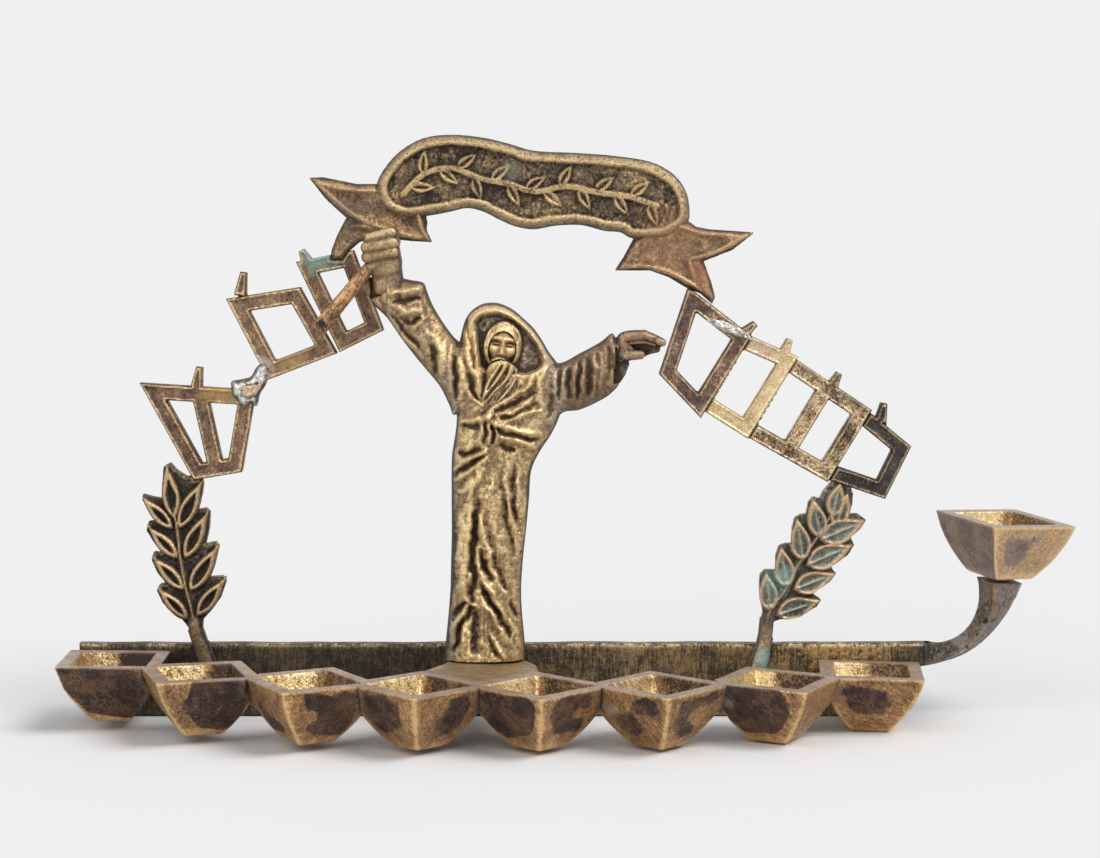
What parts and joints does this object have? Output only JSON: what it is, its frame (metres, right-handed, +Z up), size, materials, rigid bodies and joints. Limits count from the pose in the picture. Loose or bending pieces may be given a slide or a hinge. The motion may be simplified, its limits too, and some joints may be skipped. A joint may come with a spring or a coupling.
{
  "type": "hanukkah menorah",
  "caption": "Cast brass menorah: square cups in a bowed row before a rail, an openwork arch with a robed figure under a banner, and a swivelling servant cup on a side arm.",
  "frame": {"origin": "middle of the back rail's underside", "axes": "+X to the servant arm's side, the front with the cups towards -Y, +Z up"},
  "size_m": [0.2798, 0.0846, 0.1623],
  "materials": {
    "bright_brass": "worn, golden on the high places and brown-black in the recesses",
    "dark_brass": "dark olive-brown patina with worn golden patches",
    "cup_brass": "brown-purple patina, burnished along the edges",
    "green_brass": "green-blue verdigris over brown brass",
    "copper": "smooth brown copper",
    "solder": "dull grey, lumpy",
    "screw_steel": "turned, a little dull"
  },
  "bodies": {
    "stand": {"back_rail": "dark_brass", "cup_1": "cup_brass", "cup_2": "cup_brass", "cup_3": "cup_brass", "cup_4": "cup_brass", "cup_5": "cup_brass", "cup_6": "cup_brass", "cup_7": "cup_brass", "cup_8": "cup_brass", "figure_plate": "dark_brass", "row_screw_left": "screw_steel", "row_screw_right": "screw_steel", "banner": "bright_brass", "fret_left_1": "bright_brass", "fret_left_2": "bright_brass", "fret_left_3": "bright_brass", "fret_right_1": "bright_brass", "fret_right_2": "bright_brass", "fret_right_3": "dark_brass", "fret_right_4": "dark_brass", "solder_left": "solder", "solder_right": "solder", "sprig_left": "bright_brass", "sprig_right": "green_brass", "figure": "bright_brass", "hand_rod": "copper", "figure_screw": "screw_steel", "servant_arm": "dark_brass", "servant_cup_screw": "screw_steel"},
    "servant_cup": {"servant_cup": "cup_brass"}
  },
  "joints": [
    {"name": "servant_cup_swivel", "type": "hinge", "parent": "stand", "child": "servant_cup", "pos_m": [0.1386, 0, 0.0384], "axis": [0.0732, -0.0418, 0.9964], "continuous": true}
  ]
}
